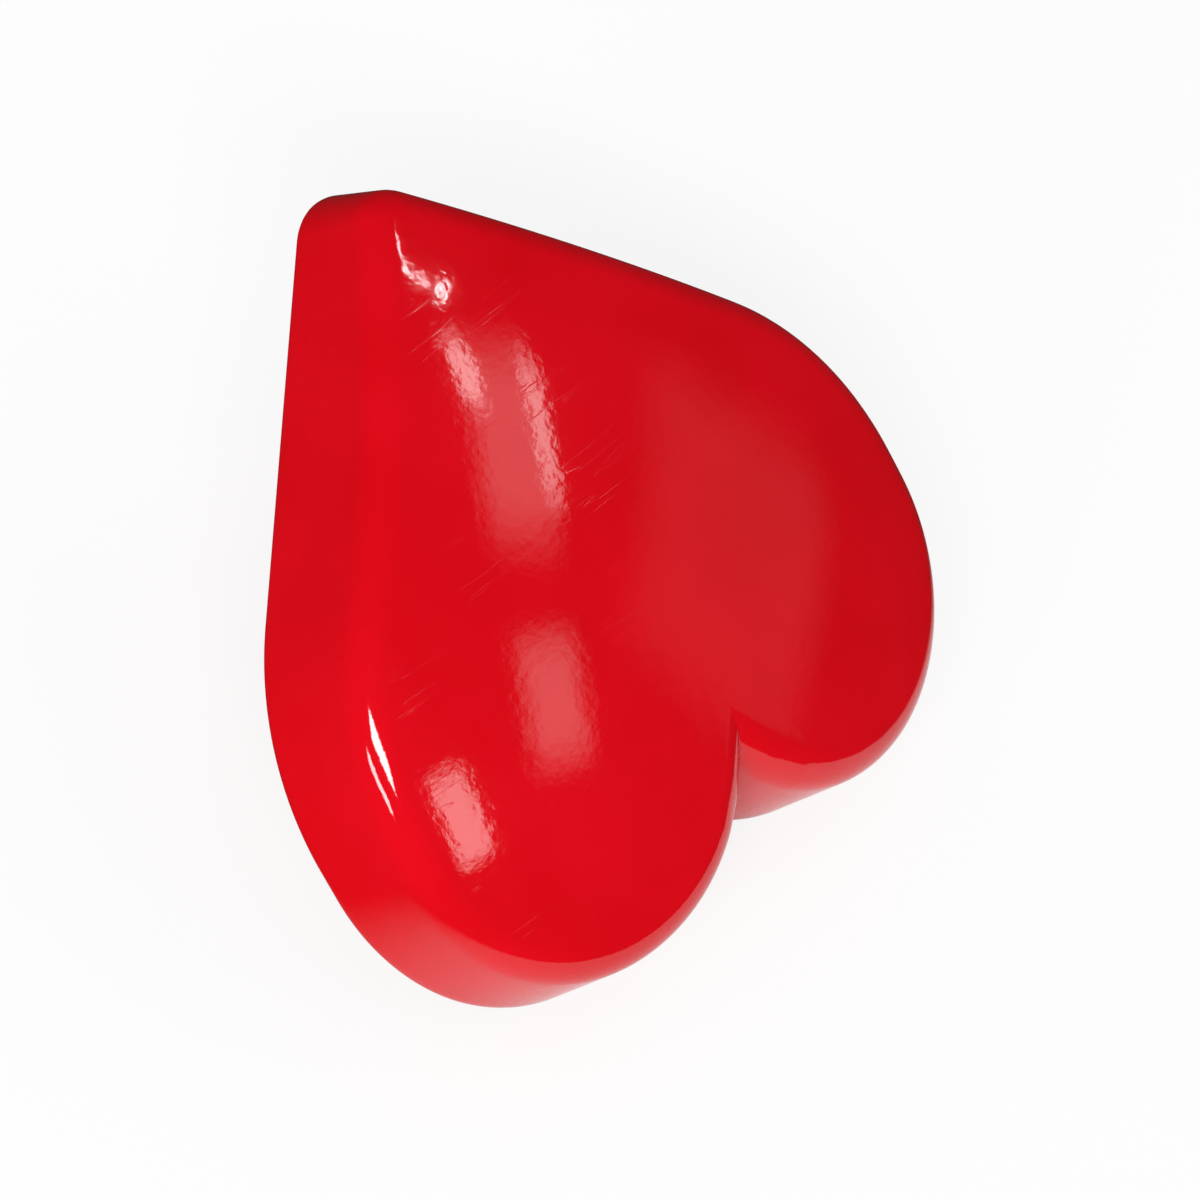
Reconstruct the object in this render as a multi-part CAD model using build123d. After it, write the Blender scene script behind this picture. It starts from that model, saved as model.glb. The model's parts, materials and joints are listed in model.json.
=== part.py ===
from build123d import *
import math
import os

# Heart-shaped shank button, one plastic moulding, lying as it comes to rest on a table.
#
# The moulding is drawn in its own frame first: X runs from lobe to lobe, Y from the tip to the lobes,
# Z out of the face, with the flat back at Z = 0, the tip at Y = 0 and the sewing loop below the back.
# It is then laid down on its two lobes and the rounded end of its loop. Lengths are in millimetres.

# Heart outline, at the back edge
heart_width = 15.0
heart_height = 14.7
notch_depth = 1.6
flank_length = 0.6
lower_radius = 6.2
tip_radius = 1.1

# Section of the body: a drafted wall, a rounded rim and a crowned face
body_thickness = 3.5
crown_rise = 1.15
rim_radius = 0.8
back_edge_radius = 0.15
wall_draft_degrees = 6.0

# Sewing loop under the back
loop_height = 4.0
loop_width = 4.5
band_width = 2.3
band_draft_degrees = 4.0
hole_diameter = 2.1
loop_edge_radius = 0.3
hole_edge_radius = 0.12
root_radius = 0.4

# Shares of the sizes that they follow; the two places are measured from the tip along the heart's height
loop_place_share = 0.56
crest_place_share = 0.6
round_limit_share = 0.9
sink_share = 0.15
overrun_share = 1.2
blank_corner_share = 0.5

half_width = heart_width / 2
wall_draft = math.radians(wall_draft_degrees)
band_draft = math.radians(band_draft_degrees)

# The lobe's radius is the one whose two circles meet at the notch's depth on the centre line.
lobe_radius = notch_depth + half_width - math.sqrt(2 * notch_depth * half_width)
lobe_x = half_width - lobe_radius
lobe_top_y = heart_height - lobe_radius
lower_x = half_width - lower_radius
lower_y = lobe_top_y - flank_length
notch_y = heart_height - notch_depth

# The loop and the crown's crest keep their places along the heart.
loop_from_tip = loop_place_share * heart_height
crest_from_tip = crest_place_share * heart_height

# The straight side is the common tangent of the tip's arc and the lobe's broader lower arc.
tip_to_lower = math.hypot(lower_x, lower_y - tip_radius)
lean_of_centres = math.atan2(lower_x, lower_y - tip_radius)
side_lean = lean_of_centres + math.asin((lower_radius - tip_radius) / tip_to_lower)
side_lean_degrees = math.degrees(side_lean)


def lobe_blank() -> Face:
    """Draws one lobe, the tip and the ground between, as one convex outline on the plane of the back.

    Past the centre line it runs straight on from the notch, so that the rim rounded along it leaves a
    short crease where it meets its mirror image.
    """
    side_normal = Vector(math.cos(side_lean), -math.sin(side_lean))
    tip_centre = Vector(0, tip_radius)
    lower_centre = Vector(lower_x, lower_y)
    top_centre = Vector(lobe_x, lobe_top_y)

    right_start = tip_centre + side_normal * tip_radius
    right_end = lower_centre + side_normal * lower_radius
    left_start = Vector(-right_start.X, right_start.Y)
    left_way = Vector(right_start.X - right_end.X, right_end.Y - right_start.Y).normalized()

    # The notch's normal turns the lobe's arc into a straight run past the centre line.
    notch_normal = Vector(-lobe_x, notch_y - lobe_top_y).normalized()
    notch_degrees = math.degrees(math.atan2(notch_normal.Y, notch_normal.X))
    lobe_end = top_centre + notch_normal * lobe_radius
    past_notch = Vector(-notch_normal.Y, notch_normal.X)

    # Where the run past the notch meets the left-hand side
    across = past_notch.X * left_way.Y - past_notch.Y * left_way.X
    gap = left_start - lobe_end
    corner = lobe_end + past_notch * ((gap.X * left_way.Y - gap.Y * left_way.X) / across)

    outline = [
        CenterArc(tip_centre, tip_radius, 180 + side_lean_degrees, 180 - 2 * side_lean_degrees),
        Line(right_start, right_end),
        CenterArc(lower_centre, lower_radius, -side_lean_degrees, side_lean_degrees),
        Line(lower_centre + Vector(lower_radius, 0), top_centre + Vector(lobe_radius, 0)),
        CenterArc(top_centre, lobe_radius, 0, notch_degrees),
        Line(lobe_end, corner),
        Line(corner, left_start),
    ]
    face = make_face(outline)
    far_corner = face.vertices().sort_by(Axis.X)[0]
    return fillet(far_corner, blank_corner_share * lobe_radius).face()


def heart_body() -> Part:
    """Makes the body: drafted wall, rounded rim, crowned face and the crease at the notch."""
    prism = extrude(lobe_blank(), overrun_share * body_thickness)
    walls = prism.faces().sort_by(Axis.Z)[1:-1]
    walled = draft(walls, Plane.XY, wall_draft_degrees)

    crown_radius = (half_width**2 + crown_rise**2) / (2 * crown_rise)
    crown_centre = Pos(0, crest_from_tip, body_thickness - crown_radius)
    crown = crown_centre * Rot(Y=90) * Sphere(crown_radius)

    solid = walled & crown
    rim_edges = new_edges(walled, crown, combined=solid)
    solid = fillet(rim_edges, rim_radius)
    back_edges = solid.faces().sort_by(Axis.Z)[0].edges()
    solid = fillet(back_edges, back_edge_radius)

    right_half = split(solid, Plane.YZ, keep=Keep.TOP)
    if right_half.center().X < 0:
        right_half = mirror(right_half, Plane.YZ)
    return right_half + mirror(right_half, Plane.YZ)


def sewing_loop() -> Part:
    """Makes the loop: straight legs, a round end and a band that narrows towards it, with the hole."""
    end_radius = loop_width / 2
    hole_z = end_radius - loop_height
    sink = sink_share * body_thickness

    arch = [
        Line((loop_from_tip - end_radius, sink), (loop_from_tip - end_radius, hole_z)),
        CenterArc((loop_from_tip, hole_z), end_radius, 180, 180),
        Line((loop_from_tip + end_radius, hole_z), (loop_from_tip + end_radius, sink)),
        Line((loop_from_tip + end_radius, sink), (loop_from_tip - end_radius, sink)),
    ]
    arch_block = extrude(Plane.YZ * make_face(arch), overrun_share * loop_width, both=True)

    end_half = band_width / 2
    root_half = end_half + (loop_height + sink) * math.tan(band_draft)
    band = make_face(Polyline(
        (-end_half, -loop_height), (end_half, -loop_height), (root_half, sink), (-root_half, sink), close=True,
    ))
    band_block = extrude(Plane.XZ * band, overrun_share * heart_height, both=True)
    loop = arch_block & band_block

    sides = loop.faces().sort_by(Axis.X)
    side_edges = sides[0].edges() + sides[-1].edges()
    rims = [edge for edge in side_edges if edge.center().Z < round_limit_share * sink]
    loop = fillet(rims, loop_edge_radius)

    hole = Pos(0, loop_from_tip, hole_z) * Rot(Y=90) * Cylinder(hole_diameter / 2, overrun_share * heart_width)
    drilled = loop - hole
    mouths = new_edges(loop, hole, combined=drilled)
    return fillet(mouths, hole_edge_radius)


def rest_lean() -> float:
    """Gives the angle, in degrees, at which the lobes' back edge and the loop's end touch one plane."""
    end_radius = loop_width / 2
    edge_setback = back_edge_radius * (1 + math.sin(wall_draft)) / math.cos(wall_draft)
    run = heart_height - edge_setback - loop_from_tip
    drop = back_edge_radius + loop_height - end_radius
    reach = math.hypot(run, drop)
    return math.degrees(math.atan2(drop, run) + math.asin((end_radius - back_edge_radius) / reach))


body = heart_body()
loop = sewing_loop()
button = body + loop
root_edges = new_edges(body, loop, combined=button)
button = fillet(root_edges, root_radius)

laid = Rot(X=-rest_lean()) * button
box = laid.bounding_box(optimal=True)
place = Pos(0, -(box.min.Y + box.max.Y) / 2, -box.min.Z)
button = place * laid

hole_centre = place * Rot(X=-rest_lean()) * Pos(0, loop_from_tip, loop_width / 2 - loop_height)
print("lobe radius", round(lobe_radius, 3), "tip angle", round(2 * side_lean_degrees, 2))
print("rest lean in degrees", round(rest_lean(), 3))
print("hole centre in mm", [round(value, 4) for value in hole_centre.position])

os.makedirs("parts", exist_ok=True)
export_step(button.solid(), "parts/heart_button.step")
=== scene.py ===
"""Looks of a heart-shaped shank button, one glossy red plastic moulding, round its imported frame.

The moulding is drawn in its own frame first: X runs from lobe to lobe, Y from the tip to the lobes and Z
out of the face, with the flat back at Z = 0, the tip at Y = 0 and the sewing loop below the back. It is
then laid down on its two lobes and the end of its loop, where the frame's sewing hole says. Lengths are
in metres and angles in radians, unless a class says otherwise.
"""

import json
import logging
import math
from dataclasses import dataclass
from enum import Enum

import bmesh
import bpy
from mathutils import Matrix, Vector


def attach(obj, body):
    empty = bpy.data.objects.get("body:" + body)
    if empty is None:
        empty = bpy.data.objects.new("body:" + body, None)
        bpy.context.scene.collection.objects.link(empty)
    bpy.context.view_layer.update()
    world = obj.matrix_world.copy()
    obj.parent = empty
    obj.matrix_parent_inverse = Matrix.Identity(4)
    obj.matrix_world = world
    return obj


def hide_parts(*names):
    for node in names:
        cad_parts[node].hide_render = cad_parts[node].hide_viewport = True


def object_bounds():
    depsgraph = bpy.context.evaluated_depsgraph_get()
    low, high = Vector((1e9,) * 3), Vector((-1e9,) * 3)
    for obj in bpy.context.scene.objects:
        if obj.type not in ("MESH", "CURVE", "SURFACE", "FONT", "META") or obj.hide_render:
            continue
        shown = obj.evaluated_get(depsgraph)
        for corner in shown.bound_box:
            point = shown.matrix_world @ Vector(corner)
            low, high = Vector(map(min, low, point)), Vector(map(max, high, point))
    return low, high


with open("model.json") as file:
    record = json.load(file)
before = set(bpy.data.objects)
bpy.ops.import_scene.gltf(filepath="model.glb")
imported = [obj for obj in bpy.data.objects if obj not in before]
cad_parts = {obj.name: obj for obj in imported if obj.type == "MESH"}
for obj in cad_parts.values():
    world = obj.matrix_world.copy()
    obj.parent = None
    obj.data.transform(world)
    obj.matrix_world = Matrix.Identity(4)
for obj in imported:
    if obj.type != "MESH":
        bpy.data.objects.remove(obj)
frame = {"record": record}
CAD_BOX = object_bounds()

LOG = logging.getLogger("heart_button")
MM = 0.001
MICRON = 1e-6

# Attributes of the button's mesh, all in millimetres
MOULD_PLACE = "mould_place"
ALONG_RIM = "along_rim"
INSIDE_RIM = "inside_rim"


class Surface(Enum):
    """The two finishes of the moulding, by material index."""

    POLISHED = 0
    BACK = 1


class Zone(Enum):
    """The stretches of the body's section, from the flat back up to the face."""

    BACK = "back"
    BACK_EDGE = "back edge"
    WALL = "wall"
    RIM = "rim"


@dataclass(frozen=True)
class HeartOutline:
    """The heart's outline at its back edge, and what follows from it."""

    width: float = 15.0 * MM
    height: float = 14.7 * MM
    notch_depth: float = 1.6 * MM
    flank: float = 0.6 * MM
    lower_radius: float = 6.2 * MM
    tip_radius: float = 1.1 * MM

    @property
    def half(self) -> float:
        """Half of the width."""
        return self.width / 2

    @property
    def lobe_radius(self) -> float:
        """Radius whose two circles meet at the notch on the centre line."""
        return self.notch_depth + self.half - math.sqrt(2 * self.notch_depth * self.half)

    @property
    def top_centre(self) -> Vector:
        """Centre of the lobe's upper arc."""
        return Vector((self.half - self.lobe_radius, self.height - self.lobe_radius))

    @property
    def low_centre(self) -> Vector:
        """Centre of the lobe's broader lower arc, below the flank."""
        return Vector((self.half - self.lower_radius, self.top_centre.y - self.flank))

    @property
    def tip_centre(self) -> Vector:
        """Centre of the arc that rounds the tip."""
        return Vector((0, self.tip_radius))

    @property
    def notch(self) -> Vector:
        """The notch's point on the centre line."""
        return Vector((0, self.height - self.notch_depth))

    @property
    def notch_normal(self) -> Vector:
        """Outward normal of the right-hand lobe at the notch."""
        return (self.notch - self.top_centre).normalized()

    @property
    def notch_way(self) -> Vector:
        """Direction in which the right-hand lobe would run straight on past the notch."""
        return Vector((-self.notch_normal.y, self.notch_normal.x))

    @property
    def side_lean(self) -> float:
        """Lean of the straight side from the centre line."""
        rise = self.low_centre.y - self.tip_radius
        reach = math.hypot(self.low_centre.x, rise)
        lean_of_centres = math.atan2(self.low_centre.x, rise)
        return lean_of_centres + math.asin((self.lower_radius - self.tip_radius) / reach)

    @property
    def side_normal(self) -> Vector:
        """Outward normal of the right-hand straight side."""
        return Vector((math.cos(self.side_lean), -math.sin(self.side_lean)))

    @property
    def side_way(self) -> Vector:
        """Direction of the right-hand straight side, from the tip to the lobe."""
        return Vector((-self.side_normal.y, self.side_normal.x))

    @property
    def side_length(self) -> float:
        """Length of the straight side."""
        return (self.low_centre - self.tip_centre).dot(self.side_way)

    def outward(self, foot: Vector) -> Vector:
        """Gives the outward normal at a place of the right-hand edge.

        Args:
            foot: the place on the edge.

        Returns:
            The normal, of length one.
        """
        if (foot - self.tip_centre).dot(self.side_way) < 0:
            return (foot - self.tip_centre).normalized()
        if (foot - self.low_centre).dot(self.side_way) < 0:
            return self.side_normal
        if foot.y < self.low_centre.y:
            return (foot - self.low_centre).normalized()
        if foot.y < self.top_centre.y:
            return Vector((1, 0))
        return (foot - self.top_centre).normalized()

    def by_notch(self, past: float) -> tuple[Vector, Vector]:
        """Follows the right-hand lobe's arc to the notch and straight on past it.

        Args:
            past: how far past the notch, negative on the arc before it.

        Returns:
            The place and its outward normal.
        """
        if past > 0:
            return self.notch + self.notch_way * past, self.notch_normal
        spoke = Matrix.Rotation(past / self.lobe_radius, 2) @ self.notch_normal
        return self.top_centre + spoke * self.lobe_radius, spoke

    def inset(self, place: Vector) -> float:
        """Gives how far a place of the right-hand half lies inside the edge.

        Args:
            place: the place, on the plane of the back.

        Returns:
            The distance to the nearest edge, negative outside.
        """
        tip = place - self.tip_centre
        low = place - self.low_centre
        top = place - self.top_centre
        reaches = [
            self.tip_radius - tip.dot(self.side_normal),
            self.half - place.x,
            (self.notch - place).dot(self.notch_normal),
        ]
        if tip.dot(self.side_way) < 0:
            reaches.append(self.tip_radius - tip.length)
        if low.dot(self.side_way) > 0 and low.y < 0 and low.x > 0:
            reaches.append(self.lower_radius - low.length)
        if top.y > 0 and top.dot(self.notch_way) < 0:
            reaches.append(self.lobe_radius - top.length)
        return min(reaches)

    def run(self, place: Vector) -> float:
        """Gives how far along the outline, from the tip, the edge nearest to a place lies.

        Args:
            place: a point of the right-hand half.

        Returns:
            The length along the edge.
        """
        forward = (place - self.tip_centre).dot(self.side_way)
        if forward < self.side_length:
            return forward
        if place.y < self.low_centre.y:
            spoke = place - self.low_centre
            turn = math.atan2(spoke.y, max(spoke.x, MICRON)) + self.side_lean
            return self.side_length + turn * self.lower_radius
        flank_start = self.side_length + self.side_lean * self.lower_radius
        if place.y < self.top_centre.y:
            return flank_start + place.y - self.low_centre.y
        spoke = place - self.top_centre
        return flank_start + self.flank + math.atan2(spoke.y, spoke.x) * self.lobe_radius


@dataclass(frozen=True)
class HeartSection:
    """The body's section: drafted wall, rounded rim and crowned face."""

    thickness: float = 3.5 * MM
    crown_rise: float = 1.15 * MM
    crest_place_share: float = 0.6
    rim_radius: float = 0.8 * MM
    back_edge_radius: float = 0.15 * MM
    wall_draft: float = math.radians(6)
    fit_rounds: int = 5

    def crown(self, outline: HeartOutline) -> tuple[Vector, float]:
        """Gives the centre and the radius of the sphere that crowns the face."""
        radius = (outline.half**2 + self.crown_rise**2) / (2 * self.crown_rise)
        return Vector((0, self.crest_place_share * outline.height, self.thickness - radius)), radius

    def crown_height(self, outline: HeartOutline, place: Vector) -> float:
        """Gives the crowned face's height over the back at a place."""
        centre, radius = self.crown(outline)
        return centre.z + math.sqrt(radius**2 - (place - centre).xy.length_squared)

    def edge_ball(self, foot: Vector, outward: Vector, radius: float, height: float) -> Vector:
        """Gives the centre, at a height over the back, of a ball that touches the wall from inside."""
        reach = (radius + height * math.sin(self.wall_draft)) / math.cos(self.wall_draft)
        return (foot - outward * reach).to_3d() + Vector((0, 0, height))

    def rim_ball(self, outline: HeartOutline, foot: Vector, outward: Vector) -> Vector:
        """Gives the centre of the ball that rounds the rim, between wall and crown.

        Args:
            outline: the heart's outline.
            foot: the place of the wall's foot.
            outward: the foot's outward normal.

        Returns:
            The centre.
        """
        centre, radius = self.crown(outline)
        inner = radius - self.rim_radius
        ball = self.edge_ball(foot, outward, self.rim_radius, self.thickness - self.rim_radius)
        for _ in range(self.fit_rounds):
            height = centre.z + math.sqrt(inner**2 - (ball - centre).xy.length_squared)
            ball = self.edge_ball(foot, outward, self.rim_radius, height)
        return ball

    def place(self, outline: HeartOutline, foot: Vector, outward: Vector, zone: Zone,
              share: float) -> Vector:
        """Gives a place of the section that stands over a place of the edge.

        Args:
            outline: the heart's outline.
            foot: the place of the wall's foot.
            outward: the foot's outward normal.
            zone: the stretch of the section.
            share: how far up that stretch; on the back, how far inside the edge instead.

        Returns:
            The place, with its height over the back.
        """
        down = Vector((0, 0, -1))
        off_wall = (outward * math.cos(self.wall_draft)).to_3d() - down * math.sin(self.wall_draft)
        low = self.edge_ball(foot, outward, self.back_edge_radius, self.back_edge_radius)
        if zone is Zone.BACK:
            return low + down * self.back_edge_radius - outward.to_3d() * share
        if zone is Zone.BACK_EDGE:
            return low + down.slerp(off_wall, share) * self.back_edge_radius
        high = self.rim_ball(outline, foot, outward)
        wall_top = high + off_wall * self.rim_radius
        if zone is Zone.WALL:
            return (low + off_wall * self.back_edge_radius).lerp(wall_top, share)
        off_crown = (high - self.crown(outline)[0]).normalized()
        return high + off_wall.slerp(off_crown, share) * self.rim_radius


@dataclass(frozen=True)
class SewingLoop:
    """The loop under the back: straight legs, a round end, a narrowing band and the hole."""

    place_share: float = 0.56
    height: float = 4.0 * MM
    width: float = 4.5 * MM
    band: float = 2.3 * MM
    band_draft: float = math.radians(4)
    hole_diameter: float = 2.1 * MM
    edge_radius: float = 0.3 * MM
    hole_edge_radius: float = 0.12 * MM
    root_radius: float = 0.4 * MM

    @property
    def end_radius(self) -> float:
        """Radius of the round end."""
        return self.width / 2

    @property
    def hole_radius(self) -> float:
        """Radius of the hole."""
        return self.hole_diameter / 2

    @property
    def hole_z(self) -> float:
        """Height of the hole's axis, below the back."""
        return self.end_radius - self.height

    def half_band(self, z: float) -> float:
        """Half of the band's width at a height."""
        return self.band / 2 + (z + self.height) * math.tan(self.band_draft)


@dataclass(frozen=True)
class MeshSteps:
    """How finely the moulding is divided, and the small lengths that its making needs.

    The loop's legs run past the back by the overrun before they are cut off there. A corner of the loop's
    side has a lead, in shares of the rounding that meets it, so that the rounding has room. The support is
    the flat strip beside a rounding, and the crease is the outline's last step before the notch. Within
    the notch's reach of the centre line, the lobes are fitted to each other.
    """

    tip: int = 10
    side: int = 44
    low_arc: int = 30
    flank: int = 4
    top_arc: int = 66
    face_rings: int = 56
    wall: int = 12
    rim: int = 14
    back_edge: int = 4
    loop_edge: int = 8
    loop_end: int = 48
    loop_leg: int = 8
    loop_root: int = 32
    band: int = 12
    hole_mouth: int = 4
    root: int = 8
    lead_share: float = 1.4
    overrun: float = 0.6 * MM
    support: float = 0.05 * MM
    crease: float = 0.03 * MM
    notch_reach: float = 0.6 * MM
    merge: float = 0.001 * MM


@dataclass(frozen=True)
class Grain:
    """How fine a noise is: its scale per millimetre and its count of finer layers."""

    scale: float
    detail: float


class NodePad:
    """Lays nodes out in one tree and links them."""

    COLUMN = 180
    ROW = 220
    PER_ROW = 12

    # A Mix node's sockets for colours, by number because their names repeat
    MIX_FIRST = 6
    MIX_SECOND = 7
    MIX_RESULT = 2

    def __init__(self, tree: bpy.types.NodeTree) -> None:
        """Starts on an emptied tree.

        Args:
            tree: the tree of a material, a lamp, a world or a group.
        """
        self.tree = tree
        self.tree.nodes.clear()
        self.count = 0

    def add(self, kind: str, label: str = "", inputs: dict | None = None,
            **settings: object) -> bpy.types.Node:
        """Adds a node.

        Args:
            kind: the node's type.
            label: plain words for what it does.
            inputs: a value, or a socket to link, for each input by name or number.
            settings: the node's own settings.

        Returns:
            The new node.
        """
        node = self.tree.nodes.new(kind)
        node.label = label
        row, column = divmod(self.count, self.PER_ROW)
        node.location = (self.COLUMN * column, -self.ROW * row)
        self.count += 1
        for key, value in settings.items():
            setattr(node, key, value)
        for key, value in (inputs or {}).items():
            if isinstance(value, bpy.types.NodeSocket):
                self.tree.links.new(value, node.inputs[key])
            else:
                node.inputs[key].default_value = value
        return node

    def attribute(self, name: str, output: str, label: str) -> bpy.types.NodeSocket:
        """Reads one of the mesh's attributes and gives one of the reader's outputs."""
        return self.add("ShaderNodeAttribute", label, attribute_name=name).outputs[output]

    def math(self, operation: str, first: object, second: object, label: str = "") -> bpy.types.NodeSocket:
        """Works out an operation on two values or sockets and gives its result."""
        node = self.add("ShaderNodeMath", label, {0: first, 1: second}, operation=operation)
        return node.outputs[0]

    def noise(self, place: bpy.types.NodeSocket, grain: Grain, label: str) -> bpy.types.NodeSocket:
        """Adds a noise over a place in millimetres and gives its value."""
        inputs = {"Vector": place, "Scale": grain.scale, "Detail": grain.detail}
        return self.add("ShaderNodeTexNoise", label, inputs).outputs[0]

    def stripes(self, reach: bpy.types.NodeSocket, grain: Grain, label: str) -> bpy.types.NodeSocket:
        """Adds a noise along one length in millimetres and gives its value."""
        inputs = {"W": reach, "Scale": grain.scale, "Detail": grain.detail}
        return self.add("ShaderNodeTexNoise", label, inputs, noise_dimensions="1D").outputs[0]

    def blend(self, share: bpy.types.NodeSocket, first: object, second: object,
              label: str) -> bpy.types.NodeSocket:
        """Mixes two colours, each given as red, green and blue or as a socket.

        Args:
            share: how much of the second colour is mixed in.
            first: the colour at no share.
            second: the colour at a full share.
            label: plain words for what the mix does.

        Returns:
            The mixed colour.
        """
        node = self.add("ShaderNodeMix", label, {0: share}, data_type="RGBA")
        for key, value in ((self.MIX_FIRST, first), (self.MIX_SECOND, second)):
            if isinstance(value, bpy.types.NodeSocket):
                self.tree.links.new(value, node.inputs[key])
            else:
                node.inputs[key].default_value = (*value, 1.0)
        return node.outputs[self.MIX_RESULT]

    def ramp(self, value: bpy.types.NodeSocket, low: float, high: float, to_low: float = 0.0,
             to_high: float = 1.0, label: str = "") -> bpy.types.NodeSocket:
        """Adds a smooth step.

        Args:
            value: what the step follows.
            low: where the step starts.
            high: where the step ends.
            to_low: the result at the start.
            to_high: the result at the end.
            label: plain words for what the step does.

        Returns:
            The result.
        """
        inputs = {"Value": value, "From Min": low, "From Max": high, "To Min": to_low, "To Max": to_high}
        node = self.add("ShaderNodeMapRange", label, inputs, interpolation_type="SMOOTHSTEP")
        return node.outputs["Result"]


@dataclass(frozen=True)
class HairlineWay:
    """A way across the face: its turn, and a noise's scales along, across and through it."""

    turn: float
    scales: tuple[float, float, float]


@dataclass(frozen=True)
class SurfaceMarks:
    """The marks that both finishes share: slow sinks, flow ripple, peel, hairlines and specks.

    Scales are per millimetre and the specks' rise is in microns. A speck's radius is a share of its cell,
    and only cells whose random value is over the cut have one.
    """

    sink: Grain = Grain(0.22, 1.0)
    ripple: Grain = Grain(0.9, 2.0)
    peel: Grain = Grain(5.0, 2.0)
    pigment: Grain = Grain(0.35, 3.0)
    hairline: Grain = Grain(1.0, 3.0)
    hairline_ways: tuple[HairlineWay, HairlineWay] = (
        HairlineWay(0.5, (0.16, 2.6, 0.5)),
        HairlineWay(-0.9, (0.12, 2.2, 0.5)),
    )
    hairline_level: float = 0.62
    hairline_half_width: float = 0.006
    scuffs: Grain = Grain(0.5, 1.0)
    scuff_step: tuple[float, float] = (0.5, 0.62)
    speck_scale: float = 0.9
    speck_radius_share: float = 0.035
    speck_cut: float = 0.6
    speck_rise: float = 2.0

    def build(self) -> bpy.types.NodeTree:
        """Builds the node group that both finishes use.

        Returns:
            The group, which puts out a height in microns, a shade and two masks.
        """
        tree = bpy.data.node_groups.new("moulding_marks", "ShaderNodeTree")
        pad = NodePad(tree)
        tree.interface.new_socket("Place", in_out="INPUT", socket_type="NodeSocketVector")
        for name in ("Sink", "Ripple", "Peel", "Hairline"):
            tree.interface.new_socket(name, in_out="INPUT", socket_type="NodeSocketFloat")
        for name in ("Height", "Shade", "Hairlines", "Specks"):
            tree.interface.new_socket(name, in_out="OUTPUT", socket_type="NodeSocketFloat")
        given = pad.add("NodeGroupInput").outputs
        place = given["Place"]
        sink = pad.math("MULTIPLY", pad.noise(place, self.sink, "sink"), given["Sink"])
        ripple = pad.math("MULTIPLY", pad.noise(place, self.ripple, "flow ripple"), given["Ripple"])
        peel = pad.math("MULTIPLY", pad.noise(place, self.peel, "peel"), given["Peel"])
        waves = pad.math("ADD", pad.math("ADD", sink, ripple), peel)
        hairlines = self._draw_hairlines(pad, place)
        specks = self._scatter_specks(pad, place)
        dig = pad.math("MULTIPLY", hairlines, given["Hairline"], "hairline depth")
        rise = pad.math("MULTIPLY", specks, self.speck_rise, "speck rise")
        height = pad.math("ADD", pad.math("SUBTRACT", waves, dig), rise)
        shade = pad.noise(place, self.pigment, "pigment")
        results = {"Height": height, "Shade": shade, "Hairlines": hairlines, "Specks": specks}
        pad.add("NodeGroupOutput", "", results)
        return tree

    def _draw_hairlines(self, pad: NodePad, place: bpy.types.NodeSocket) -> bpy.types.NodeSocket:
        """Draws hairline scratches: thin bands of a noise that is drawn out along two ways, in scuffs.

        Args:
            pad: the group's nodes.
            place: the place in the mould.

        Returns:
            The hairlines' mask.
        """
        lines = []
        for way in self.hairline_ways:
            inputs = {"Vector": place, "Rotation": (0, 0, way.turn), "Scale": way.scales}
            drawn = pad.add("ShaderNodeMapping", "drawn out", inputs).outputs[0]
            noise = pad.noise(drawn, self.hairline, "hairline noise")
            band = pad.math("ABSOLUTE", pad.math("SUBTRACT", noise, self.hairline_level), 0.0)
            lines.append(pad.ramp(band, 0.0, self.hairline_half_width, 1.0, 0.0, "hairline"))
        scuffs = pad.ramp(pad.noise(place, self.scuffs, "where hairlines lie"), *self.scuff_step)
        return pad.math("MULTIPLY", pad.math("MAXIMUM", *lines), scuffs)

    def _scatter_specks(self, pad: NodePad, place: bpy.types.NodeSocket) -> bpy.types.NodeSocket:
        """Scatters specks: small discs round scattered points, of which only some are kept.

        Args:
            pad: the group's nodes.
            place: the place in the mould.

        Returns:
            The specks' mask.
        """
        inputs = {"Vector": place, "Scale": self.speck_scale, "Randomness": 1.0}
        cells = pad.add("ShaderNodeTexVoronoi", "specks", inputs).outputs
        draws = pad.add("ShaderNodeSeparateColor", "", {0: cells["Color"]}).outputs
        radius = pad.math("MULTIPLY", draws["Red"], self.speck_radius_share, "speck size")
        inside = pad.math("LESS_THAN", cells["Distance"], radius)
        return pad.math("MULTIPLY", inside, pad.math("GREATER_THAN", draws["Green"], self.speck_cut))


@dataclass(frozen=True)
class RimRibs:
    """Fine ribs across the rim, where the mould was cut step by step.

    The depth is in microns. In millimetres inside the outline, the ribs set in over the first stretch and
    fade over the second.
    """

    depth: float = 0.9
    grain: Grain = Grain(3.2, 2.0)
    set_in: tuple[float, float] = (0.15, 0.4)
    fade: tuple[float, float] = (1.0, 1.8)

    def height(self, pad: NodePad) -> bpy.types.NodeSocket:
        """Draws the ribs.

        Args:
            pad: the material's nodes.

        Returns:
            The ribs' height in microns.
        """
        ribs = pad.stripes(pad.attribute(ALONG_RIM, "Fac", "along the rim"), self.grain, "ribs")
        inside = pad.attribute(INSIDE_RIM, "Fac", "inside the rim")
        strip = pad.math("MULTIPLY", pad.ramp(inside, *self.set_in), pad.ramp(inside, *self.fade, 1.0, 0.0))
        return pad.math("MULTIPLY", pad.math("MULTIPLY", ribs, strip), self.depth, "ribs on the rim")


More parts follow.
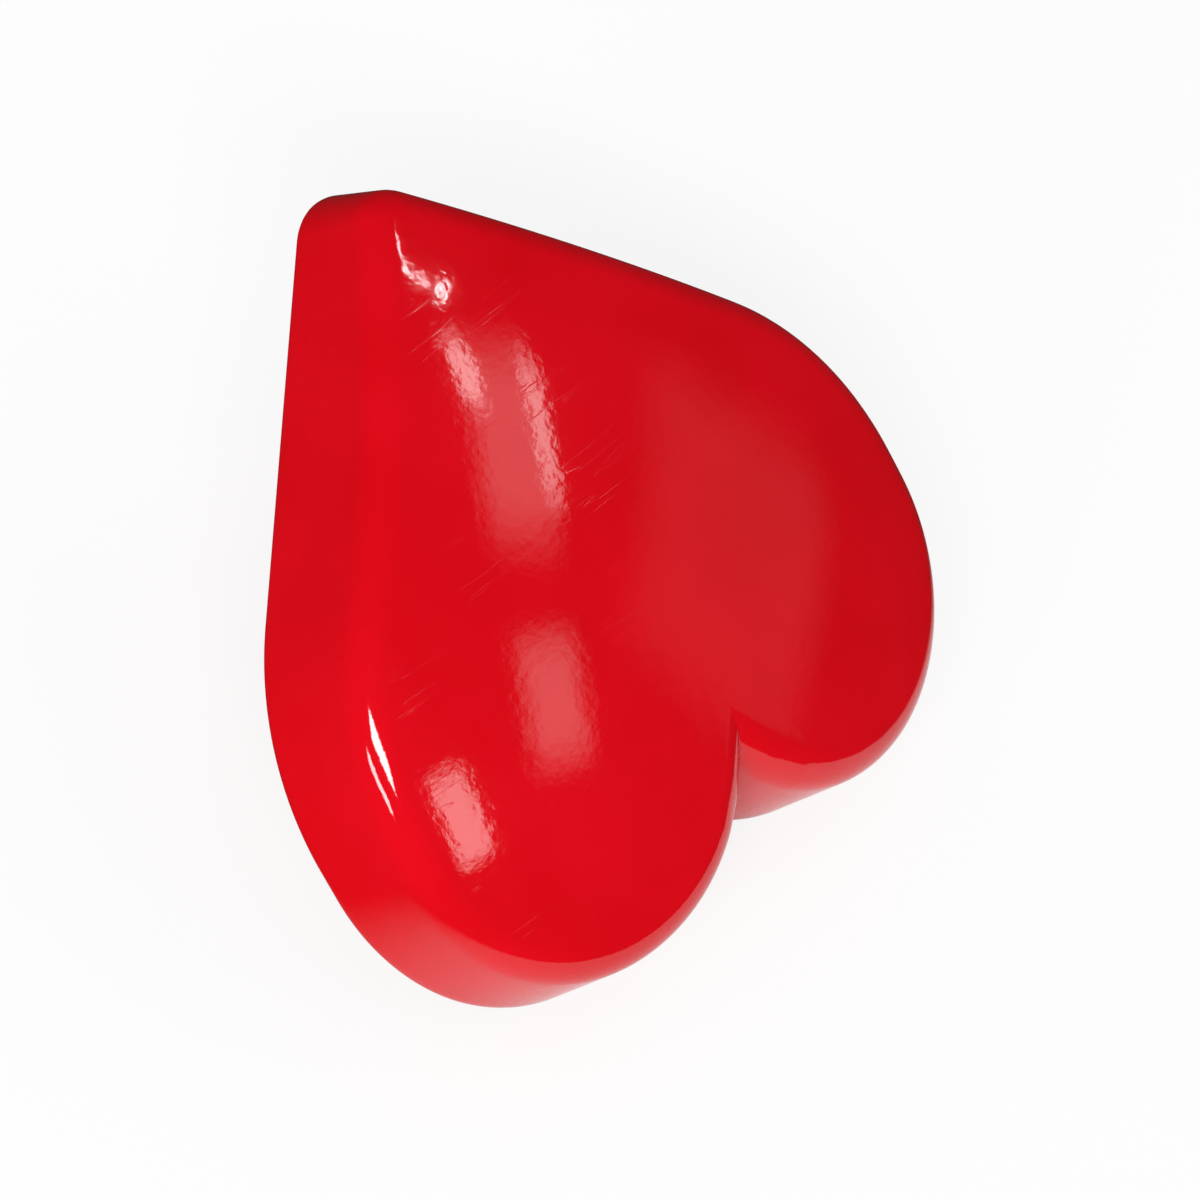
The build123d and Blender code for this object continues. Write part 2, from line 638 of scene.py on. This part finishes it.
@dataclass(frozen=True)
class CutterArcs:
    """The cutter's arcs on the flat back; the depth is in microns, the offset in millimetres."""

    depth: float = 6.0
    grain: Grain = Grain(8.0, 1.0)
    offset: tuple[float, float, float] = (26.0, 14.0, 0.0)

    def height(self, pad: NodePad) -> bpy.types.NodeSocket:
        """Draws the arcs round the cutter's centre, which lies off the button.

        Args:
            pad: the material's nodes.

        Returns:
            The arcs' height in microns.
        """
        place = pad.attribute(MOULD_PLACE, "Vector", "place in the mould")
        moved = pad.add("ShaderNodeMapping", "cutter's centre", {"Vector": place, "Location": self.offset})
        reach = pad.add("ShaderNodeVectorMath", "cutter's reach", {0: moved.outputs[0]}, operation="LENGTH")
        arcs = pad.stripes(reach.outputs["Value"], self.grain, "arcs")
        return pad.math("MULTIPLY", arcs, self.depth, "cutter's arcs")


@dataclass(frozen=True)
class PlasticFinish:
    """One finish of the red plastic; depths of its marks are in microns."""

    name: str
    deep_color: tuple[float, float, float]
    roughness: float
    sink: float
    ripple: float
    peel: float
    own_marks: RimRibs | CutterArcs
    color: tuple[float, float, float] = (0.605, 0.002, 0.008)
    speck_color: tuple[float, float, float] = (0.30, 0.002, 0.004)
    pigment_step: tuple[float, float] = (0.35, 0.65)
    hairline: float = 0.5
    hairline_dulling: float = 2.5
    ior: float = 1.5

    def build(self, marks: bpy.types.NodeTree) -> bpy.types.Material:
        """Builds the material.

        Args:
            marks: the node group of the shared marks.

        Returns:
            The finish's material.
        """
        material = bpy.data.materials.new(self.name)
        material.use_nodes = True
        pad = NodePad(material.node_tree)
        given = {
            "Place": pad.attribute(MOULD_PLACE, "Vector", "place in the mould"),
            "Sink": self.sink, "Ripple": self.ripple, "Peel": self.peel, "Hairline": self.hairline,
        }
        mark = pad.add("ShaderNodeGroup", "moulding marks", given, node_tree=marks).outputs
        height = pad.math("ADD", mark["Height"], self.own_marks.height(pad))
        bump = pad.add("ShaderNodeBump", "marks", {"Height": height, "Distance": MICRON})

        tint = pad.ramp(mark["Shade"], *self.pigment_step, label="pigment")
        color = pad.blend(tint, self.deep_color, self.color, "pigment")
        color = pad.blend(mark["Specks"], color, self.speck_color, "specks")
        dull = self.hairline_dulling * self.roughness
        gloss = pad.ramp(mark["Hairlines"], 0.0, 1.0, self.roughness, dull, "dull hairlines")
        shader = pad.add("ShaderNodeBsdfPrincipled", "plastic", {
            "Base Color": color, "Roughness": gloss, "IOR": self.ior, "Normal": bump.outputs["Normal"],
        })
        pad.add("ShaderNodeOutputMaterial", "", {"Surface": shader.outputs[0]})
        return material


FINISHES = {
    Surface.POLISHED: PlasticFinish(
        name="red_plastic_polished", deep_color=(0.57, 0.0015, 0.006), roughness=0.05,
        sink=14.0, ripple=3.0, peel=1.7, own_marks=RimRibs(),
    ),
    Surface.BACK: PlasticFinish(
        name="red_plastic_back", deep_color=(0.55, 0.0015, 0.006), roughness=0.2,
        sink=10.0, ripple=2.0, peel=0.4, own_marks=CutterArcs(),
    ),
}


class Pen:
    """Draws a run of edges into a mesh, on from where it stands."""

    def __init__(self, shape: bmesh.types.BMesh, start: tuple[float, float, float]) -> None:
        """Sets the pen down where the run starts."""
        self.shape = shape
        self.vert = bmesh.ops.create_vert(shape, co=start)["vert"][0]

    def turn(self, centre: Vector, angle: float, steps: int,
             axis: tuple[float, float, float] = (0, 0, 1)) -> None:
        """Draws an arc of some steps about an axis, which is square to the outline unless given."""
        self._spin(cent=centre.to_3d(), axis=axis, angle=angle, steps=steps)

    def advance(self, way: Vector, steps: int) -> None:
        """Draws a straight run of some steps."""
        self._spin(cent=(0, 0, 0), axis=(0, 0, 1), dvec=way / steps, angle=0, steps=steps)

    def _spin(self, **spin: object) -> None:
        """Spins the pen's vertex into edges and goes on to the last one."""
        spun = bmesh.ops.spin(self.shape, geom=[self.vert], **spin)
        self.vert = next(item for item in spun["geom_last"] if isinstance(item, bmesh.types.BMVert))


@dataclass(frozen=True)
class HeartButton:
    """The moulding's mesh, from its outline to where it lies, and its finishes."""

    outline: HeartOutline = HeartOutline()
    section: HeartSection = HeartSection()
    loop: SewingLoop = SewingLoop()
    steps: MeshSteps = MeshSteps()
    name: str = "moulded_button"

    @property
    def loop_y(self) -> float:
        """Place of the loop along the heart, from the tip."""
        return self.loop.place_share * self.outline.height

    def build(self) -> bpy.types.Object:
        """Builds the whole moulding where it lies, and dresses it.

        Returns:
            The button's object, at the origin, with its place in its mesh.
        """
        shape = bmesh.new()
        back_ring = self._raise_body(shape)
        root_ring = self._add_loop(shape)
        bmesh.ops.triangle_fill(shape, edges=back_ring + root_ring, use_beauty=True, normal=(0, 0, -1))
        bmesh.ops.recalc_face_normals(shape, faces=shape.faces)
        self._mark_surface(shape)
        self._lay_down(shape)
        mesh = bpy.data.meshes.new(self.name)
        shape.to_mesh(mesh)
        shape.free()
        mesh.shade_smooth()
        marks = SurfaceMarks().build()
        for surface in Surface:
            mesh.materials.append(FINISHES[surface].build(marks))
        button = bpy.data.objects.new(self.name, mesh)
        bpy.context.scene.collection.objects.link(button)
        return button

    def _draw_outline(self, shape: bmesh.types.BMesh) -> bmesh.types.BMFace:
        """Draws the right-hand half, mirrors it and fills it.

        Args:
            shape: the mesh under work.

        Returns:
            The heart's face, on the plane of the back.
        """
        heart, steps = self.outline, self.steps
        crease_turn = steps.crease / heart.lobe_radius
        notch_turn = math.atan2(heart.notch_normal.y, heart.notch_normal.x) - crease_turn
        pen = Pen(shape, (0, 0, 0))
        pen.turn(heart.tip_centre, math.pi / 2 - heart.side_lean, steps.tip)
        pen.advance((heart.side_way * heart.side_length).to_3d(), steps.side)
        pen.turn(heart.low_centre, heart.side_lean, steps.low_arc)
        pen.advance(Vector((0, heart.flank, 0)), steps.flank)
        pen.turn(heart.top_centre, notch_turn, steps.top_arc)
        pen.turn(heart.top_centre, crease_turn, 1)
        half = shape.verts[:] + shape.edges[:]
        bmesh.ops.mirror(shape, geom=half, matrix=Matrix.Identity(4), merge_dist=steps.merge, axis="X")
        bmesh.ops.remove_doubles(shape, verts=shape.verts, dist=steps.merge)
        return bmesh.ops.contextual_create(shape, geom=shape.edges)["faces"][0]

    def _rings(self) -> list[tuple[Zone, float]]:
        """Lists the rings of the section, from inside the back's edge up to the end of the rim.

        Returns:
            Each ring's stretch of the section and its share of it.
        """
        steps = self.steps
        rings = [(Zone.BACK, steps.support)]
        rings += [(Zone.BACK_EDGE, step / steps.back_edge) for step in range(steps.back_edge)]
        rings += [(Zone.WALL, step / steps.wall) for step in range(steps.wall)]
        rings += [(Zone.RIM, step / steps.rim) for step in range(steps.rim + 1)]
        return rings

    def _place_over(self, foot: Vector, zone: Zone, share: float) -> Vector:
        """Gives the section's place over a place of the edge.

        By the notch the place keeps to its distance from the centre line, along the lobe run straight on.

        Args:
            foot: the place on the edge, of either half.
            zone: the stretch of the section.
            share: how far up that stretch.

        Returns:
            The place, with its height over the back.
        """
        heart, body = self.outline, self.section
        right = Vector((abs(foot.x), foot.y))
        place = body.place(heart, right, heart.outward(right), zone, share)
        if right.x < self.steps.notch_reach and right.y > heart.top_centre.y:
            past = -(heart.notch - right).length
            for _ in range(body.fit_rounds):
                past += (place.x - right.x) / heart.notch_normal.y
                place = body.place(heart, *heart.by_notch(past), zone, share)
            place.x = right.x
        return Vector((math.copysign(place.x, foot.x), place.y, place.z))

    def _raise_body(self, shape: bmesh.types.BMesh) -> list[bmesh.types.BMEdge]:
        """Raises the wall and the rounded rim ring by ring and lays the crowned face inside them.

        Args:
            shape: the mesh under work.

        Returns:
            The edges of the ring inside the back edge, where the back is still open.
        """
        heart, body = self.outline, self.section
        face = self._draw_outline(shape)
        back_ring = ring = list(face.edges)
        bmesh.ops.delete(shape, geom=[face], context="FACES_ONLY")
        foot = shape.verts.layers.float_vector.new("foot")
        for vert in shape.verts:
            vert[foot] = vert.co
        for zone, share in self._rings():
            if zone is not Zone.BACK:
                ring = self._grow_ring(shape, ring)
            for vert in self._verts_of(ring):
                vert.co = self._place_over(vert[foot], zone, share)
        shape.verts.layers.float_vector.remove(foot)

        middle = body.crown(heart)[0]
        for rings_left in range(self.steps.face_rings, 1, -1):
            ring = self._grow_ring(shape, ring)
            share = (rings_left - 1) / rings_left
            verts = self._verts_of(ring)
            bmesh.ops.scale(shape, vec=(share, share, 1), space=Matrix.Translation(-middle), verts=verts)
            for vert in verts:
                vert.co.z = body.crown_height(heart, vert.co)
        cap = bmesh.ops.contextual_create(shape, geom=ring)["faces"]
        crest = bmesh.ops.poke(shape, faces=cap)["verts"][0]
        crest.co.z = body.crown_height(heart, crest.co)
        return back_ring

    @staticmethod
    def _verts_of(edges: list[bmesh.types.BMEdge]) -> list[bmesh.types.BMVert]:
        """Gives the vertices of some edges, each once."""
        return list(dict.fromkeys(vert for edge in edges for vert in edge.verts))

    @staticmethod
    def _grow_ring(shape: bmesh.types.BMesh, ring: list[bmesh.types.BMEdge]) -> list[bmesh.types.BMEdge]:
        """Extrudes an open ring of edges in place and gives the new ring, which is open in turn."""
        grown = bmesh.ops.extrude_edge_only(shape, edges=ring)["geom"]
        return [item for item in grown if isinstance(item, bmesh.types.BMEdge) and item.is_boundary]

    @staticmethod
    def _round(shape: bmesh.types.BMesh, edges: list[bmesh.types.BMEdge], offset: float,
               segments: int) -> None:
        """Rounds edges by a bevel of circular profile, which starts at an offset from each edge."""
        bmesh.ops.bevel(shape, geom=edges, offset=offset, offset_type="OFFSET", segments=segments,
                        profile=0.5, affect="EDGES", material=-1)

    def _draw_loop_side(self, shape: bmesh.types.BMesh) -> list[bmesh.types.BMFace]:
        """Draws one side of the loop: the arch's outline, bridged to the hole.

        The legs run on past the plane of the back, where they are cut off once their edges are rounded.

        Args:
            shape: a mesh that holds nothing yet.

        Returns:
            The side's faces.
        """
        loop, steps = self.loop, self.steps
        centre = Vector((-loop.band / 2, self.loop_y, loop.hole_z))
        facing = Matrix.Translation(centre) @ Matrix.Rotation(math.pi / 2, 4, "Y")
        count = steps.loop_end + 2 * steps.loop_leg + steps.loop_root
        bmesh.ops.create_circle(shape, cap_ends=False, radius=loop.hole_radius, segments=count,
                                matrix=facing)
        root_lead = Vector((0, 0, -steps.overrun - steps.lead_share * loop.root_radius))
        leg = Vector((0, 0, loop.hole_z - steps.overrun)) - root_lead
        edge_lead = Vector((0, steps.lead_share * loop.edge_radius, 0))
        root = Vector((0, loop.width, 0)) - 2 * edge_lead
        pen = Pen(shape, (centre.x, self.loop_y + loop.end_radius, steps.overrun))
        pen.advance(root_lead, 1)
        pen.advance(leg, steps.loop_leg - 1)
        pen.turn(centre, -math.pi, steps.loop_end, axis=(1, 0, 0))
        pen.advance(-leg, steps.loop_leg - 1)
        pen.advance(-root_lead, 1)
        pen.advance(edge_lead, 1)
        pen.advance(root, steps.loop_root - 2)
        pen.advance(edge_lead, 1)
        bmesh.ops.remove_doubles(shape, verts=shape.verts, dist=steps.merge)
        return bmesh.ops.bridge_loops(shape, edges=shape.edges)["faces"]

    def _edges_round_hole(self, part: bmesh.types.BMesh, low: float,
                          high: float) -> list[bmesh.types.BMEdge]:
        """Finds the closed edges of the loop's two sides that lie at some distance from the hole's axis.

        Args:
            part: the loop's mesh.
            low: the least distance of an edge's ends.
            high: the greatest distance of an edge's ends.

        Returns:
            The edges.
        """
        axis = Vector((self.loop_y, self.loop.hole_z))
        slack = self.steps.merge
        found = []
        for edge in part.edges:
            first, second = (vert.co for vert in edge.verts)
            reaches = [(first.yz - axis).length, (second.yz - axis).length]
            level = abs(first.x - second.x) < slack
            within = low - slack < min(reaches) and max(reaches) < high + slack
            if level and within and not edge.is_boundary:
                found.append(edge)
        return found

    def _spread_flange(self, part: bmesh.types.BMesh, ring: list[bmesh.types.BMEdge]) -> None:
        """Spreads a flange along the back from the loop's open root, to give the root's rounding room.

        Args:
            part: the loop's mesh.
            ring: the open edges of the root.
        """
        middle = Vector((0, self.loop_y, 0))
        reach = self.loop.root_radius + 2 * self.steps.support
        ways = {}
        for vert in self._verts_of(self._grow_ring(part, ring)):
            near = [edge.other_vert(vert).co for edge in vert.link_edges if edge.is_boundary]
            way = (near[1] - near[0]).cross(Vector((0, 0, 1))).normalized()
            ways[vert] = way if way.dot(vert.co - middle) > 0 else -way
        for vert, way in ways.items():
            bmesh.ops.translate(part, vec=way * reach, verts=[vert])

    def _model_loop(self) -> bmesh.types.BMesh:
        """Models the loop: rounds its edges, cuts its legs off at the back and rounds its root.

        Returns:
            The loop's own mesh, with a flange on the plane of the back.
        """
        loop, steps = self.loop, self.steps
        part = bmesh.new()
        grown = bmesh.ops.extrude_face_region(part, geom=self._draw_loop_side(part))["geom"]
        far_side = [item for item in grown if isinstance(item, bmesh.types.BMVert)]
        bmesh.ops.translate(part, vec=(loop.band, 0, 0), verts=far_side)
        bmesh.ops.recalc_face_normals(part, faces=part.faces)
        top = [face for face in part.faces if all(vert.co.z > steps.overrun / 2 for vert in face.verts)]
        bmesh.ops.delete(part, geom=top, context="FACES")

        mouths = self._edges_round_hole(part, loop.hole_radius, loop.hole_radius)
        self._round(part, mouths, loop.hole_edge_radius, steps.hole_mouth)
        band_edges = self._edges_round_hole(part, loop.end_radius, loop.height)
        self._round(part, band_edges, loop.edge_radius, steps.loop_edge)
        bmesh.ops.bisect_plane(part, geom=[*part.verts, *part.edges, *part.faces], dist=steps.merge,
                               plane_co=(0, 0, 0), plane_no=(0, 0, 1), clear_outer=True)
        for vert in part.verts:
            vert.co.x *= loop.half_band(vert.co.z) / loop.half_band(-loop.height)

        root = [edge for edge in part.edges if edge.is_boundary]
        self._spread_flange(part, root)
        bmesh.ops.recalc_face_normals(part, faces=part.faces)
        self._round(part, root, loop.root_radius, steps.root)
        across = [
            edge for edge in part.edges
            if abs(edge.verts[0].co.x - edge.verts[1].co.x) > loop.band / 2
        ]
        bmesh.ops.subdivide_edges(part, edges=across, cuts=steps.band, use_grid_fill=True)
        return part

    def _add_loop(self, shape: bmesh.types.BMesh) -> list[bmesh.types.BMEdge]:
        """Adds the loop below the back.

        Args:
            shape: the mesh under work.

        Returns:
            The outer edges of the loop's flange, on the plane of the back.
        """
        part = self._model_loop()
        loop_mesh = bpy.data.meshes.new("sewing_loop")
        part.to_mesh(loop_mesh)
        part.free()
        before = set(shape.verts)
        shape.from_mesh(loop_mesh)
        bpy.data.meshes.remove(loop_mesh)
        added = [vert for vert in shape.verts if vert not in before]
        return list(dict.fromkeys(edge for vert in added for edge in vert.link_edges if edge.is_boundary))

    def _mark_surface(self, shape: bmesh.types.BMesh) -> None:
        """Gives each face its finish and each vertex its place in the mould, along and inside the rim.

        Args:
            shape: the closed mesh, still in the moulding's own frame.
        """
        heart = self.outline
        mould = shape.verts.layers.float_vector.new(MOULD_PLACE)
        along = shape.verts.layers.float.new(ALONG_RIM)
        inside = shape.verts.layers.float.new(INSIDE_RIM)
        for vert in shape.verts:
            place = Vector((abs(vert.co.x), vert.co.y))
            vert[mould] = vert.co / MM
            vert[along] = heart.run(place) / MM
            vert[inside] = heart.inset(place) / MM
        for face in shape.faces:
            flat = all(abs(vert.co.z) < self.steps.merge for vert in face.verts)
            face.material_index = Surface.BACK.value if flat else Surface.POLISHED.value

    def _lay_down(self, shape: bmesh.types.BMesh) -> None:
        """Turns the moulding onto its lobes and its loop's end, with the hole where the frame has it.

        Args:
            shape: the mesh, in the moulding's own frame until now.
        """
        loop, edge = self.loop, self.section.back_edge_radius
        draft = self.section.wall_draft
        setback = edge * (1 + math.sin(draft)) / math.cos(draft)
        run = self.outline.height - setback - self.loop_y
        drop = edge + loop.height - loop.end_radius
        lean = math.atan2(drop, run) + math.asin((loop.end_radius - edge) / math.hypot(run, drop))
        hole = Vector((0, self.loop_y, loop.hole_z))
        mount = next(item for item in frame["record"]["mounts"] if item["name"] == "sewing_hole")
        leaned = Matrix.Rotation(-lean, 4, "X") @ Matrix.Translation(-hole)
        bmesh.ops.transform(shape, matrix=Matrix.Translation(mount["pos_m"]) @ leaned, verts=shape.verts)


@dataclass(frozen=True)
class Stand:
    """Where a lamp or the camera stands, seen from the button; its angles are in degrees."""

    azimuth: float
    elevation: float
    spin: float = 0.0
    distance: float = 0.5

    def place(self, aim: Vector, slide: tuple[float, float] = (0.0, 0.0)) -> Matrix:
        """Faces a point from the stand.

        Args:
            aim: the point.
            slide: how far to its own right and up the stand is slid then.

        Returns:
            The place of what stands there and looks along its own -Z.
        """
        turn, rise = math.radians(self.azimuth), math.radians(self.elevation)
        way = Vector((math.cos(rise) * math.cos(turn), math.cos(rise) * math.sin(turn), math.sin(rise)))
        facing = way.to_track_quat("Z", "Y").to_matrix().to_4x4()
        spun = facing @ Matrix.Rotation(math.radians(self.spin), 4, "Z")
        return Matrix.Translation(aim) @ spun @ Matrix.Translation((*slide, self.distance))


@dataclass(frozen=True)
class Softbox:
    """One studio lamp, which fades towards its edges; its radiance is in shares of white."""

    name: str
    stand: Stand
    width: float
    height: float
    radiance: float
    edge_share: float = 0.35

    def hang(self, aim: Vector) -> None:
        """Hangs the lamp so that it faces a point.

        Args:
            aim: the point that it lights.
        """
        lamp = bpy.data.lights.new(self.name, "AREA")
        lamp.shape = "RECTANGLE"
        lamp.size = self.width
        lamp.size_y = self.height
        lamp.energy = self.radiance * math.pi * self.width * self.height
        self._soften(lamp)
        holder = bpy.data.objects.new(self.name, lamp)
        holder.matrix_world = self.stand.place(aim)
        bpy.context.scene.collection.objects.link(holder)

    def _soften(self, lamp: bpy.types.Light) -> None:
        """Lets the lamp's light fade towards its edges.

        Args:
            lamp: the lamp whose nodes are built.
        """
        lamp.use_nodes = True
        pad = NodePad(lamp.node_tree)
        place = pad.add("ShaderNodeNewGeometry", "place on the lamp").outputs["Parametric"]
        parts = pad.add("ShaderNodeSeparateXYZ", "", {0: place}).outputs
        fades = []
        for part in (parts["X"], parts["Y"]):
            from_edge = pad.math("MINIMUM", part, pad.math("SUBTRACT", 1.0, part), "from the edge")
            fades.append(pad.ramp(from_edge, 0.0, self.edge_share))
        strength = pad.math("MULTIPLY", *fades)
        glow = pad.add("ShaderNodeEmission", "soft light", {"Strength": strength})
        pad.add("ShaderNodeOutputLight", "", {"Surface": glow.outputs[0]})


@dataclass(frozen=True)
class WhiteFloor:
    """The floor: white to the camera, with its shadow, and dim past a pool where the gloss mirrors it."""

    radius: float = 2.0
    sides: int = 64
    white: float = 0.9
    mirrored: float = 0.03
    pool: float = 10.5 * MM
    dusk: float = 15 * MM
    pool_middle: tuple[float, float, float] = (0.0, 12 * MM, 0.0)
    glow_share: float = 0.82

    def lay(self) -> None:
        """Lays the floor under the button."""
        disc = bmesh.new()
        bmesh.ops.create_circle(disc, cap_ends=True, radius=self.radius, segments=self.sides)
        mesh = bpy.data.meshes.new("floor")
        disc.to_mesh(mesh)
        disc.free()
        floor = bpy.data.objects.new("floor", mesh)
        bpy.context.scene.collection.objects.link(floor)
        mesh.materials.append(self._build_material())

    def _build_material(self) -> bpy.types.Material:
        """Builds the floor's material.

        Returns:
            The material.
        """
        material = bpy.data.materials.new("white_floor")
        material.use_nodes = True
        pad = NodePad(material.node_tree)
        path = pad.add("ShaderNodeLightPath", "seen or mirrored").outputs
        place = pad.add("ShaderNodeTexCoord", "place on the floor").outputs["Object"]
        reach = pad.add("ShaderNodeVectorMath", "from the pool's middle", {0: place, 1: self.pool_middle},
                        operation="DISTANCE").outputs["Value"]
        away = pad.ramp(reach, self.pool, self.dusk, label="past the bright pool")
        dim = pad.math("MULTIPLY", away, path["Is Glossy Ray"], "mirrored floor")
        white = pad.blend(dim, (self.white,) * 3, (self.mirrored,) * 3, "mirrored floor")
        plain = pad.add("ShaderNodeBsdfDiffuse", "floor", {"Color": white})
        glow = pad.add("ShaderNodeEmission", "white", {"Color": (1.0, 1.0, 1.0, 1.0), "Strength": 1.0})
        share = pad.math("MULTIPLY", path["Is Camera Ray"], self.glow_share)
        both = pad.add("ShaderNodeMixShader", "", {0: share, 1: plain.outputs[0], 2: glow.outputs[0]})
        pad.add("ShaderNodeOutputMaterial", "", {"Surface": both.outputs[0]})
        return material


@dataclass(frozen=True)
class LongLens:
    """The camera at the photograph's viewing angle; its sensor is in millimetres."""

    stand: Stand = Stand(24, 49, spin=20, distance=0.25)
    frame_width: float = 22 * MM
    off_middle: tuple[float, float] = (1.1 * MM, -1.1 * MM)
    sensor: float = 36.0
    clip_share: float = 0.1

    def set_up(self, aim: Vector) -> None:
        """Sets the camera up.

        Args:
            aim: the point that it faces before it is slid off the middle.
        """
        lens = bpy.data.cameras.new("camera")
        lens.sensor_width = self.sensor
        lens.lens = self.sensor * self.stand.distance / self.frame_width
        lens.clip_start = self.clip_share * self.stand.distance
        camera = bpy.data.objects.new("camera", lens)
        camera.matrix_world = self.stand.place(aim, self.off_middle)
        bpy.context.scene.collection.objects.link(camera)
        bpy.context.scene.camera = camera
        bpy.context.scene.view_settings.view_transform = "Standard"


@dataclass(frozen=True)
class Studio:
    """The white floor, the dim room, the lamps and the camera.

    The key and the side lamp light the button and draw the short dashes on its rim. The bands, the strip,
    the fork and the patch draw the highlights on its face, and the far panel the faint veil at its right.
    """

    floor: WhiteFloor = WhiteFloor()
    camera: LongLens = LongLens()
    room: float = 0.5
    room_mirrored: float = 0.03
    lamps: tuple[Softbox, ...] = (
        Softbox("key", Stand(27, 41), width=0.26, height=0.09, radiance=26.0, edge_share=0.1),
        Softbox("side", Stand(10, 19), width=0.22, height=0.06, radiance=18.0, edge_share=0.1),
        Softbox("band_upper", Stand(138.5, 46.5, spin=17), width=0.19, height=0.088, radiance=1.5),
        Softbox("band_lower", Stand(116.5, 35.5, spin=49), width=0.12, height=0.08, radiance=1.8),
        Softbox("band_left_edge", Stand(146, 50.5, spin=17), width=0.07, height=0.024, radiance=6.5),
        Softbox("band_right_edge", Stand(141.5, 43.5, spin=16), width=0.14, height=0.022, radiance=5.0),
        Softbox("tip_strip", Stand(163.5, 58.5, spin=59), width=0.14, height=0.003, radiance=50.0,
                edge_share=0.1),
        Softbox("tip_fork", Stand(156.5, 51, spin=-30), width=0.018, height=0.003, radiance=50.0,
                edge_share=0.1),
        Softbox("patch", Stand(100, 35.5, spin=-10), width=0.04, height=0.08, radiance=5.0, edge_share=0.2),
        Softbox("far_panel", Stand(140, 23), width=0.26, height=0.22, radiance=0.2, edge_share=0.25),
    )

    def build(self, aim: Vector) -> None:
        """Sets the studio up round a point.

        Args:
            aim: the button's middle.
        """
        self.floor.lay()
        self._dim_room()
        for lamp in self.lamps:
            lamp.hang(aim)
        self.camera.set_up(aim)

    def _dim_room(self) -> None:
        """Fills the room with an even grey light, dim where the gloss mirrors it."""
        world = bpy.data.worlds.new("room")
        world.use_nodes = True
        pad = NodePad(world.node_tree)
        path = pad.add("ShaderNodeLightPath", "mirrored").outputs
        plain, mirrored = (self.room,) * 3, (self.room_mirrored,) * 3
        grey = pad.blend(path["Is Glossy Ray"], plain, mirrored, "mirrored room")
        room = pad.add("ShaderNodeBackground", "room", {"Color": grey, "Strength": 1.0})
        pad.add("ShaderNodeOutputWorld", "", {"Surface": room.outputs[0]})
        bpy.context.scene.world = world


def main() -> None:
    """Builds the button and its studio."""
    logging.basicConfig(level=logging.INFO, format="%(name)s: %(message)s")
    button = HeartButton().build()
    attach(button, "root")
    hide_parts("heart_button")
    LOG.info("%s: %d faces", button.name, len(button.data.polygons))
    low, high = CAD_BOX
    Studio().build((low + high) / 2)


if __name__ == "__main__":
    main()
